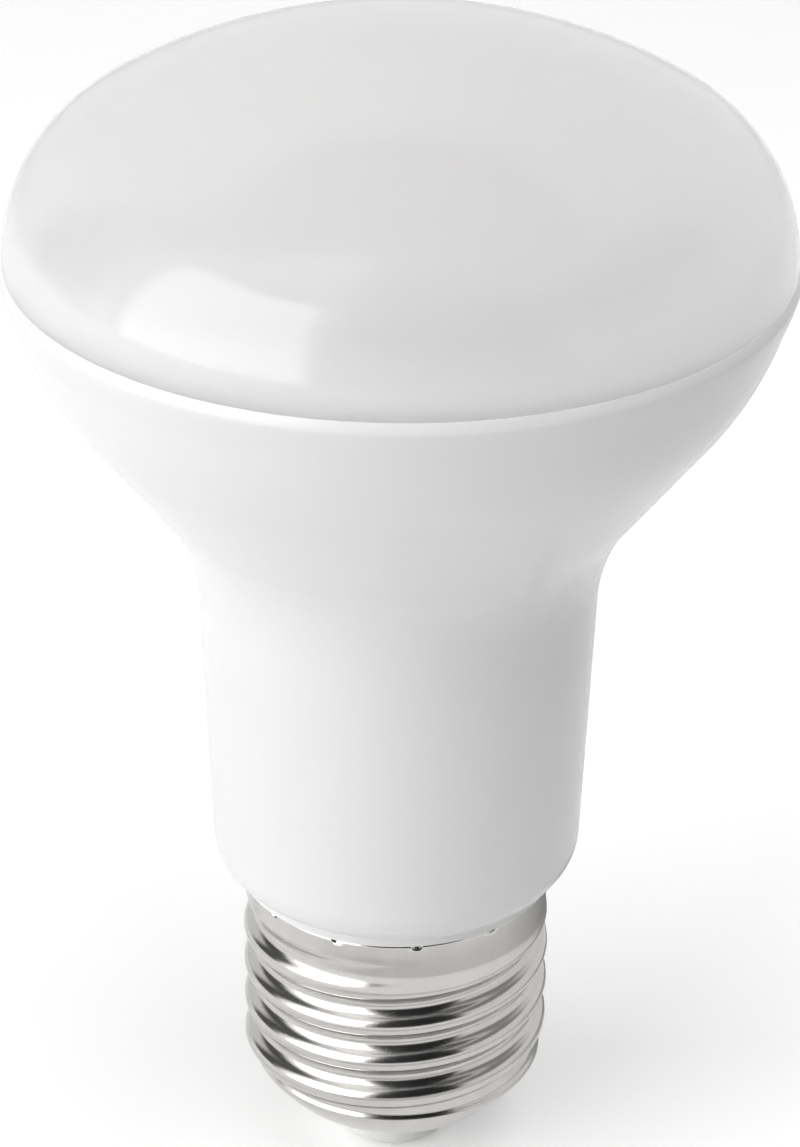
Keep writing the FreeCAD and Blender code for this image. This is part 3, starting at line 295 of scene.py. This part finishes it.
def dome_outline():
    """Diffuser: crown and corner arcs, edge on the rim, skirt with a bead, inner faces."""
    land = RIM_TOP + EDGE_LAND
    edge = BELL_END[0]
    crown = (edge - CORNER_ROUND) ** 2 + DOME_RISE ** 2 - CORNER_ROUND ** 2
    crown /= 2 * (DOME_RISE - CORNER_ROUND)
    corner_centre = (edge - CORNER_ROUND, land)
    crown_centre = (0, land + DOME_RISE - crown)
    turn = math.degrees(math.atan2(corner_centre[1] - crown_centre[1], corner_centre[0]))
    inner_radius = SKIRT_RADIUS - SKIRT_WALL
    inner_corner = CORNER_ROUND - DIFFUSER_WALL
    inner_turn = math.degrees(math.acos((inner_radius - corner_centre[0]) / inner_corner))
    points = arc_points(crown_centre, crown, 90, turn, 60)
    points += arc_points(corner_centre, CORNER_ROUND, turn, 0, 40)[1:]
    points += [(edge, RIM_TOP + EDGE_CHAMFER), (edge - EDGE_CHAMFER, RIM_TOP), (SKIRT_RADIUS, RIM_TOP),
               (SKIRT_RADIUS, BEAD_HEIGHT + BEAD_HALF), (SKIRT_RADIUS + BEAD_PROUD, BEAD_HEIGHT),
               (SKIRT_RADIUS, BEAD_HEIGHT - BEAD_HALF), (SKIRT_RADIUS, SKIRT_END), (inner_radius, SKIRT_END)]
    points += arc_points(corner_centre, inner_corner, inner_turn, turn, 20)
    points += arc_points(crown_centre, crown - DIFFUSER_WALL, turn, 90, 30)[1:]
    return points


def bell_places(inset):
    """Places where the housing's lines and arcs meet, moved inwards by inset."""
    neck_out = Vector((math.cos(NECK_TAPER), -math.sin(NECK_TAPER)))
    slope_out = Vector((math.cos(BELL_ANGLE), -math.sin(BELL_ANGLE)))
    foot = Vector((NECK_RADIUS, FLOOR_TOP))
    bell_centre_height = KNEE_HEIGHT + BELL_ROUND * math.sin(BELL_ANGLE)
    reach = math.sqrt(BELL_ROUND ** 2 - (BELL_END[1] - bell_centre_height) ** 2)
    bell_centre = Vector((BELL_END[0] - reach, bell_centre_height))
    knee = bell_centre + slope_out * BELL_ROUND
    reach_neck = neck_out.dot(foot) + NECK_FILLET
    reach_slope = slope_out.dot(knee) + NECK_FILLET
    cross = neck_out.x * slope_out.y - neck_out.y * slope_out.x
    centre = Vector(((reach_neck * slope_out.y - reach_slope * neck_out.y) / cross,
                     (neck_out.x * reach_slope - slope_out.x * reach_neck) / cross))
    return {
        "foot": foot - neck_out * inset,
        "neck_out": neck_out,
        "centre": centre,
        "bell_centre": bell_centre,
        "low": centre - neck_out * (NECK_FILLET + inset),
        "high": centre - slope_out * (NECK_FILLET + inset),
        "knee": bell_centre + slope_out * (BELL_ROUND - inset),
    }


def housing_outline():
    """Housing: foot, rounded lip, neck, flared bell, rim, ledge and the inner faces."""
    outer, inner = bell_places(0), bell_places(HOUSING_WALL)
    lean = outer["neck_out"]
    foot_centre = outer["foot"] - lean * FOOT_ROUND
    foot_centre = foot_centre + Vector((math.tan(NECK_TAPER), 1)) * (FOOT_CENTRE_HEIGHT - foot_centre.y)
    low = Vector((LIP_EDGE, foot_centre.y - math.sqrt(FOOT_ROUND ** 2 - (LIP_EDGE - foot_centre.x) ** 2)))
    points = [(FOOT_RADIUS, CAP_HEIGHT), (LIP_EDGE - LIP_EDGE_CHAMFER, CAP_HEIGHT),
              (LIP_EDGE, CAP_HEIGHT + LIP_EDGE_CHAMFER)]
    points += arc_between(foot_centre, low, foot_centre + lean * FOOT_ROUND, 24)
    points += arc_between(outer["centre"], outer["low"], outer["high"], 40)
    points += [(r + LIP_PROUD * smooth_step(z - LIP_BLEND, BELL_END[1] - LIP_BLEND), z)
               for r, z in arc_between(outer["bell_centre"], outer["knee"], BELL_END, 60)]
    for i in range(1, LIP_ROWS + 1):
        share = i / LIP_ROWS
        points.append((BELL_END[0] + LIP_PROUD * (1 - share ** LIP_CURVE),
                       BELL_END[1] + (RIM_TOP - BELL_END[1]) * share))
    points += [(RIM_BORE, RIM_TOP), (RIM_BORE, BEAD_HEIGHT + BEAD_HALF), (RIM_BORE + BEAD_PROUD, BEAD_HEIGHT),
               (RIM_BORE, BEAD_HEIGHT - BEAD_HALF), (RIM_BORE, LEDGE_HEIGHT)]
    centre = inner["bell_centre"]
    reach = math.sqrt((BELL_ROUND - HOUSING_WALL) ** 2 - (centre.y - LEDGE_HEIGHT) ** 2)
    points += arc_between(centre, (centre.x + reach, LEDGE_HEIGHT), inner["knee"], 20)
    points += arc_between(inner["centre"], inner["high"], inner["low"], 20)
    points += [tuple(inner["foot"]), (FOOT_BORE, FLOOR_TOP), (FOOT_BORE, FOOT_BOTTOM),
               (STUB_RADIUS, FOOT_BOTTOM), (STUB_RADIUS, FOOT_SEAT), (FOOT_RADIUS, FOOT_SEAT)]
    return points


def add_rails():
    """The two pairs of rails inside the neck that hold the driver board, as one mesh."""
    verts, faces = [], []
    for side in (-1, 1):
        for face in (-1, 1):
            xs = sorted(side * reach for reach in RAIL_REACH)
            ys = sorted(face * away for away in RAIL_SIDES)
            base = len(verts)
            verts += [(x, y, z) for z in RAIL_ENDS for y in ys for x in xs]
            faces += [tuple(base + i for i in quad) for quad in
                      ((0, 2, 3, 1), (4, 5, 7, 6), (0, 1, 5, 4), (2, 6, 7, 3), (0, 4, 6, 2), (1, 3, 7, 5))]
    return mesh_object("housing_rails", verts, faces, smooth=False)


class Nodes:
    """Short way to build one procedural material."""

    def __init__(self, name):
        self.material = bpy.data.materials.new(name)
        self.material.use_nodes = True
        self.tree = self.material.node_tree
        self.shader = self.tree.nodes["Principled BSDF"]
        self.place = self.new("ShaderNodeTexCoord").outputs["Object"]

    def new(self, kind, **settings):
        node = self.tree.nodes.new(kind)
        for key, setting in settings.items():
            setattr(node, key, setting)
        return node

    def link(self, source, target):
        self.tree.links.new(source, target)

    def math(self, operation, first, second=None):
        node = self.new("ShaderNodeMath", operation=operation)
        for socket, given in zip(node.inputs, (first, second)):
            if given is None:
                continue
            if isinstance(given, (int, float)):
                socket.default_value = given
            else:
                self.link(given, socket)
        return node.outputs[0]

    def scaled(self, scale, vector=None):
        """Coordinates scaled along each axis, so that what is drawn on them is stretched."""
        node = self.new("ShaderNodeMapping")
        node.inputs["Scale"].default_value = scale
        self.link(self.place if vector is None else vector, node.inputs["Vector"])
        return node.outputs[0]

    def noise(self, vector, size, detail=3, roughness=0.5):
        """Noise whose features are about size millimetres across."""
        node = self.new("ShaderNodeTexNoise")
        node.inputs["Scale"].default_value = 1000 / size
        node.inputs["Detail"].default_value = detail
        node.inputs["Roughness"].default_value = roughness
        self.link(vector, node.inputs["Vector"])
        return node.outputs["Fac"]

    def around(self, radius):
        """Coordinates unrolled round the lamp's axis: arc length, height, nothing."""
        split = self.new("ShaderNodeSeparateXYZ")
        self.link(self.place, split.inputs[0])
        turn = self.math("ARCTAN2", split.outputs["X"], split.outputs["Y"])
        join = self.new("ShaderNodeCombineXYZ")
        self.link(self.math("MULTIPLY", turn, radius * MM), join.inputs["X"])
        self.link(split.outputs["Z"], join.inputs["Y"])
        return join.outputs[0]

    def ramp(self, source, stops):
        """Colours from (place, colour) stops."""
        node = self.new("ShaderNodeValToRGB")
        elements = node.color_ramp.elements
        while len(elements) < len(stops):
            elements.new(0.5)
        for element, (at, colour) in zip(elements, stops):
            element.position = at
            element.color = (*colour, 1)
        self.link(source, node.inputs["Fac"])
        return node.outputs["Color"]

    def spread(self, source, low, high):
        """What goes from 0 to 1, taken to the range from low to high."""
        node = self.new("ShaderNodeMapRange")
        node.inputs["To Min"].default_value = low
        node.inputs["To Max"].default_value = high
        self.link(source, node.inputs["Value"])
        return node.outputs[0]

    def bump(self, height, depth, under=None):
        """Relief whose full height is depth millimetres."""
        node = self.new("ShaderNodeBump")
        node.inputs["Strength"].default_value = 1.0
        node.inputs["Distance"].default_value = depth * MM
        self.link(height, node.inputs["Height"])
        if under is not None:
            self.link(under, node.inputs["Normal"])
        return node.outputs[0]

    def finish(self, **fixed):
        for key, setting in fixed.items():
            self.shader.inputs[key.replace("_", " ")].default_value = setting
        return self.material


def tint(colour, share):
    """The colour, lighter or darker by a share."""
    return tuple(min(c * share, 1) for c in colour)


def moulded(name, colour, roughness, grain, relief, drift=0.02, gloss=0.12, **fixed):
    """Moulded plastic: slow drift of tone, fine spark-eroded grain, slight change of gloss."""
    n = Nodes(name)
    slow = n.noise(n.place, 14, detail=2)
    n.link(n.ramp(slow, [(0.3, tint(colour, 1 - drift)), (0.7, tint(colour, 1 + drift / 2))]),
           n.shader.inputs["Base Color"])
    n.link(n.spread(n.noise(n.place, grain * 6, detail=3), roughness * (1 - gloss), roughness * (1 + gloss)),
           n.shader.inputs["Roughness"])
    n.link(n.bump(n.noise(n.place, grain, detail=4, roughness=0.6), relief), n.shader.inputs["Normal"])
    return n.finish(**fixed)


def opal_plastic():
    """Satin opal plastic that light passes through, less so near the rim, where the skirt backs it."""
    material = moulded("opal_satin", (0.972, 0.955, 1.0), 0.13, 0.25, 0.0003, drift=0.006, gloss=0.06,
                       IOR=1.58, Specular_IOR_Level=0.3, Subsurface_Radius=(1, 1, 1), Subsurface_Scale=0.013)
    tree = material.node_tree
    place = tree.nodes.new("ShaderNodeTexCoord")
    split = tree.nodes.new("ShaderNodeSeparateXYZ")
    weight = tree.nodes.new("ShaderNodeMapRange")
    weight.inputs["From Min"].default_value = RIM_TOP * MM
    weight.inputs["From Max"].default_value = OPAL_FULL_HEIGHT * MM
    weight.inputs["To Min"].default_value = OPAL_AT_RIM
    weight.inputs["To Max"].default_value = 1.0
    tree.links.new(place.outputs["Object"], split.inputs[0])
    tree.links.new(split.outputs["Z"], weight.inputs["Value"])
    tree.links.new(weight.outputs[0], tree.nodes["Principled BSDF"].inputs["Subsurface Weight"])
    return material


def nickel(name):
    """Bright nickel over drawn sheet: fine scratches round and along the cap, slight waviness."""
    n = Nodes(name)
    unrolled = n.around(COLLAR_RADIUS)
    along = n.scaled((1, 0.06, 1), unrolled)
    across = n.scaled((0.03, 1, 1), unrolled)
    upright = n.scaled((1, 0.25, 1), unrolled)
    scratches = n.noise(along, 0.09, detail=3, roughness=0.7)
    rolled = n.noise(across, 0.12, detail=2)
    wavy = n.noise(n.place, 3.2, detail=1)
    specks = n.noise(n.place, 0.25, detail=4, roughness=0.75)
    colour = (0.53, 0.517, 0.502)
    n.link(n.ramp(n.noise(upright, 2.4, detail=4, roughness=0.6),
                  [(0.3, tint(colour, 0.95)), (0.7, tint(colour, 1.03))]), n.shader.inputs["Base Color"])
    n.link(n.spread(specks, 0.11, 0.25), n.shader.inputs["Roughness"])
    low = n.bump(wavy, 0.012)
    mid = n.bump(rolled, 0.0011, under=low)
    fine = n.bump(scratches, 0.0014, under=mid)
    pits = n.ramp(n.noise(along, 0.35, detail=3, roughness=0.8),
                  [(0.70, (0, 0, 0)), (0.76, (1, 1, 1))])
    n.link(n.bump(pits, 0.006, under=fine), n.shader.inputs["Normal"])
    return n.finish(Metallic=1.0)


def metal(name, colour, roughness, grain, stretch=(1, 1, 1)):
    """Plain metal: stretched grain in tone, gloss and relief."""
    n = Nodes(name)
    grained = n.noise(n.scaled(stretch), grain, detail=4, roughness=0.6)
    tone = n.ramp(grained, [(0.3, tint(colour, 0.92)), (0.7, tint(colour, 1.04))])
    n.link(tone, n.shader.inputs["Base Color"])
    n.link(n.spread(grained, roughness * 0.75, roughness * 1.25), n.shader.inputs["Roughness"])
    n.link(n.bump(grained, 0.003), n.shader.inputs["Normal"])
    return n.finish(Metallic=1.0)


def assign(piece, material):
    piece.data.materials.clear()
    piece.data.materials.append(material)


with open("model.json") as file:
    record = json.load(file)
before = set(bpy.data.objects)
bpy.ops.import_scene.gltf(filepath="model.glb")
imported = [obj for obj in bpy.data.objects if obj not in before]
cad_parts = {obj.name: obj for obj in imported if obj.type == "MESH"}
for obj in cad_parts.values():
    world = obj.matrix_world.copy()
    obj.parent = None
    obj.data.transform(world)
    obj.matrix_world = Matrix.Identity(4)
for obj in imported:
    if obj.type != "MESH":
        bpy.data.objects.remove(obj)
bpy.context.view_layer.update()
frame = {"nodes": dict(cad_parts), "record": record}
nodes = frame["nodes"]

# Materials of the outside
opal = opal_plastic()
white = moulded("white_gloss", (0.80, 0.80, 0.80), 0.24, 0.30, 0.0004, drift=0.006, gloss=0.08, IOR=1.53,
                Specular_IOR_Level=0.2)
insulator_white = moulded("insulator_white", (0.90, 0.90, 0.895), 0.35, 0.18, 0.003, drift=0.02)
plate = nickel("bright_nickel")

# Materials of what the lamp holds inside, by the record's slot
INSIDE = {
    "contact_metal": metal("contact_brass", (0.72, 0.60, 0.36), 0.22, 0.15),
    "aluminium": metal("sheet_aluminium", (0.76, 0.76, 0.77), 0.38, 0.5, (1, 0.1, 1)),
    "board_white": moulded("board_mask_white", (0.86, 0.86, 0.86), 0.4, 0.3, 0.004),
    "led_package": moulded("led_phosphor", (0.86, 0.76, 0.36), 0.45, 0.12, 0.01),
    "steel": metal("zinc_steel", (0.62, 0.62, 0.60), 0.3, 0.2),
    "connector_plastic": moulded("connector_white", (0.80, 0.80, 0.76), 0.4, 0.2, 0.003),
    "board_green": moulded("board_mask_green", (0.05, 0.20, 0.08), 0.35, 0.5, 0.01, drift=0.12),
    "tinned_pin": metal("tinned_pin_metal", (0.70, 0.69, 0.66), 0.3, 0.2),
    "capacitor_sleeve": moulded("capacitor_sleeve_black", (0.02, 0.02, 0.03), 0.3, 0.6, 0.004),
    "ferrite": moulded("ferrite_grey", (0.05, 0.05, 0.05), 0.55, 0.12, 0.015, drift=0.2),
    "black_plastic": moulded("moulded_black", (0.02, 0.02, 0.02), 0.5, 0.12, 0.006, drift=0.1),
    "winding_tape": moulded("winding_tape_yellow", (0.75, 0.55, 0.06), 0.35, 0.6, 0.006, drift=0.06),
    "film_case": moulded("film_case_red", (0.38, 0.05, 0.02), 0.3, 0.5, 0.006, drift=0.06),
    "resistor_coat": moulded("resistor_coat_green", (0.14, 0.26, 0.18), 0.5, 0.2, 0.01, drift=0.06),
    "lead_insulation": moulded("lead_silicone", (0.70, 0.70, 0.67), 0.45, 0.25, 0.004),
    "white_insulator": insulator_white,
}
for entry in frame["record"]["subparts"]:
    if entry["material_slot"] in INSIDE:
        assign(nodes[entry["node"]], INSIDE[entry["material_slot"]])

# Finer diffuser, housing and cap shell on the places of their solids
dome = lathe("diffuser_dome", dome_outline())
body = lathe("housing_body", housing_outline())
rails = add_rails()
# Opal plastic lets light in, so it throws no shadow on what is inside
dome.visible_shadow = False
cap = build_cap()
tidy_mesh(cap, sharp=40)
for piece, material, node, slot in ((dome, opal, "diffuser", "opal_plastic"),
                                    (body, white, "housing", "white_housing"),
                                    (rails, white, None, "white_housing"),
                                    (cap, plate, "cap_shell", "nickel")):
    assign(piece, material)
    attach(piece, "root")
    if node:
        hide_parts(node)


def studio_light(name, place, width, height, radiance):
    """Rectangular soft light of an even radiance; its reflection is a card's, see below."""
    light = bpy.data.lights.new(name, "AREA")
    light.shape = "RECTANGLE"
    light.size, light.size_y = width, height
    light.energy = radiance * math.pi * width * height
    lamp = bpy.data.objects.new(name, light)
    lamp.location = place
    lamp.rotation_euler = (Vector(LIGHT_AIM) - place).to_track_quat("-Z", "Y").to_euler()
    lamp.visible_camera = False
    lamp.visible_glossy = False
    bpy.context.collection.objects.link(lamp)


def direction(azimuth, elevation):
    """Unit vector; azimuth runs from the camera's side (-Y) towards +X."""
    a, e = math.radians(azimuth), math.radians(elevation)
    return Vector((math.sin(a) * math.cos(e), -math.cos(a) * math.cos(e), math.sin(e)))


def card(name, azimuths, elevations, distance, strength, soft=(0, 0), beside=(1.0, 1.0)):
    """Part of a sphere round the lamp, big or small, that only reflections see: a reflector, a dark flag, or
    painted floor light and shadow near the lamp.

    Over the last soft degrees at its left and right side it fades to the level beside it.
    """
    verts, faces, levels = [], [], []
    for j in range(CARD_ROWS + 1):
        for i in range(CARD_COLUMNS + 1):
            az = azimuths[0] + (azimuths[1] - azimuths[0]) * i / CARD_COLUMNS
            el = elevations[0] + (elevations[1] - elevations[0]) * j / CARD_ROWS
            verts.append(direction(az, el) * distance / MM)
            fades = (1 - smooth_step(az - azimuths[0], max(soft[0], 0.01)),
                     1 - smooth_step(azimuths[1] - az, max(soft[1], 0.01)))
            levels.append(strength + sum((beside[k] - strength) * fades[k] for k in (0, 1) if soft[k]))
    for j in range(CARD_ROWS):
        for i in range(CARD_COLUMNS):
            k = j * (CARD_COLUMNS + 1) + i
            faces.append((k, k + 1, k + CARD_COLUMNS + 2, k + CARD_COLUMNS + 1))
    piece = mesh_object(name, verts, faces)
    glow_level = piece.data.attributes.new("level", "FLOAT", "POINT")
    glow_level.data.foreach_set("value", levels)
    material = bpy.data.materials.new(name)
    material.use_nodes = True
    tree = material.node_tree
    tree.nodes.clear()
    glow = tree.nodes.new("ShaderNodeEmission")
    glow.inputs["Color"].default_value = (1, 1, 1, 1)
    level = tree.nodes.new("ShaderNodeAttribute")
    level.attribute_name = "level"
    tree.links.new(level.outputs["Fac"], glow.inputs["Strength"])
    out = tree.nodes.new("ShaderNodeOutputMaterial")
    tree.links.new(glow.outputs[0], out.inputs["Surface"])
    assign(piece, material)
    piece.visible_camera = False
    piece.visible_diffuse = False
    piece.visible_shadow = False
    piece.visible_transmission = False


# Lamps: place, width, height and radiance, in metres
studio_light("key_softbox", direction(-61, 29) * 0.9, 1.0, 0.85, 2.64)
studio_light("top_softbox", direction(50, 76) * 0.9, 0.8, 0.8, 2.2)

# Reflectors and flags, and a ring of painted floor light and shadow near the cap: azimuths and elevations in
# degrees, distance in metres, level
card("key_face", (-81, -24), (1, 50), 0.85, 5.0)
card("key_side", (-100, -80), (4, 48), 0.87, 1.2)
card("key_top", (-81, -24), (50, 85), 0.85, 1.3)
card("backdrop_face", (128, 233), (0, 60), 0.95, 0.95)
card("ceiling", (-180, 180), (61, 90), 0.9, 0.12)
card("right_gap", (40, 122), (29, 56), 0.88, 0.33, soft=(0, 18), beside=(1.0, 0.9))
card("front_flag", (-26, 48), (4, 72), 0.8, 0.02, soft=(11, 5), beside=(1.2, 0.7))
card("left_flag", (-129, -88), (0, 60), 0.8, 0.08, soft=(10, 9), beside=(0.9, 1.5))
# A low ring close round the cap that only its reflections see: the floor's light and shade painted on, with a
# painted shadow darkest at the right, where the lamp's shadow falls, and painted light brightest at the left,
# towards the key light
card("painted_floor_shadow_right", (68, 172), (0.3, 18.5), 0.036, 0.25, soft=(80, 12), beside=(0.8, 0.7))
card("painted_floor_front", (-12, 68), (0.3, 18.5), 0.036, 0.8)
card("painted_floor_light_left", (-120, -12), (0.3, 18.5), 0.036, 1.2, soft=(20, 60), beside=(0.9, 0.8))


def background_rays(tree):
    """1 for rays that should find a white background, 0 for the light that falls on the lamp."""
    path = tree.nodes.new("ShaderNodeLightPath")
    seen = path.outputs["Is Camera Ray"]
    for kind in ("Is Glossy Ray", "Is Transmission Ray"):
        either = tree.nodes.new("ShaderNodeMath")
        either.operation = "MAXIMUM"
        tree.links.new(seen, either.inputs[0])
        tree.links.new(path.outputs[kind], either.inputs[1])
        seen = either.outputs[0]
    return seen


def floor_material():
    """Pale floor: takes the shadow, and looks white to the camera."""
    n = Nodes("floor_pale")
    n.link(n.ramp(n.noise(n.place, 40, detail=2), [(0.3, (0.895,) * 3), (0.7, (0.905,) * 3)]),
           n.shader.inputs["Base Color"])
    n.link(n.math("MULTIPLY", background_rays(n.tree), FLOOR_GLOW), n.shader.inputs["Emission Strength"])
    return n.finish(Roughness=0.9, Specular_IOR_Level=0.0, Emission_Color=(1, 1, 1, 1))


floor_corners = [(x * FLOOR_HALF, y * FLOOR_HALF, 0) for x, y in ((-1, -1), (1, -1), (1, 1), (-1, 1))]
floor = mesh_object("floor", floor_corners, [(0, 1, 2, 3)])
assign(floor, floor_material())

world = bpy.data.worlds.new("studio")
bpy.context.scene.world = world
world.use_nodes = True
sky = world.node_tree
back = sky.nodes["Background"]
level = sky.nodes.new("ShaderNodeMapRange")
level.inputs["To Min"].default_value = FILL_LEVEL
level.inputs["To Max"].default_value = 1.0
sky.links.new(background_rays(sky), level.inputs["Value"])
sky.links.new(level.outputs[0], back.inputs["Strength"])
back.inputs["Color"].default_value = (1, 0.985, 0.98, 1)

# Camera at the photograph's place and angle
dip, roll = math.radians(CAMERA_DIP), math.radians(CAMERA_ROLL)
ahead = Vector((0, math.cos(dip), -math.sin(dip)))
level_right, level_up = Vector((1, 0, 0)), Vector((0, math.sin(dip), math.cos(dip)))
right = level_right * math.cos(roll) + level_up * math.sin(roll)
up = level_up * math.cos(roll) - level_right * math.sin(roll)
camera_data = bpy.data.cameras.new("camera")
camera_data.sensor_fit = "VERTICAL"
camera_data.sensor_height = 36
camera_data.lens = CAMERA_LENS
camera_data.clip_start = 0.01
camera = bpy.data.objects.new("camera", camera_data)
bpy.context.collection.objects.link(camera)
turn = Matrix((right, up, -ahead)).transposed()
camera.matrix_world = Matrix.Translation(Vector(CAMERA_PLACE) * MM) @ turn.to_4x4()
bpy.context.scene.camera = camera

bpy.context.scene.view_settings.view_transform = "Standard"
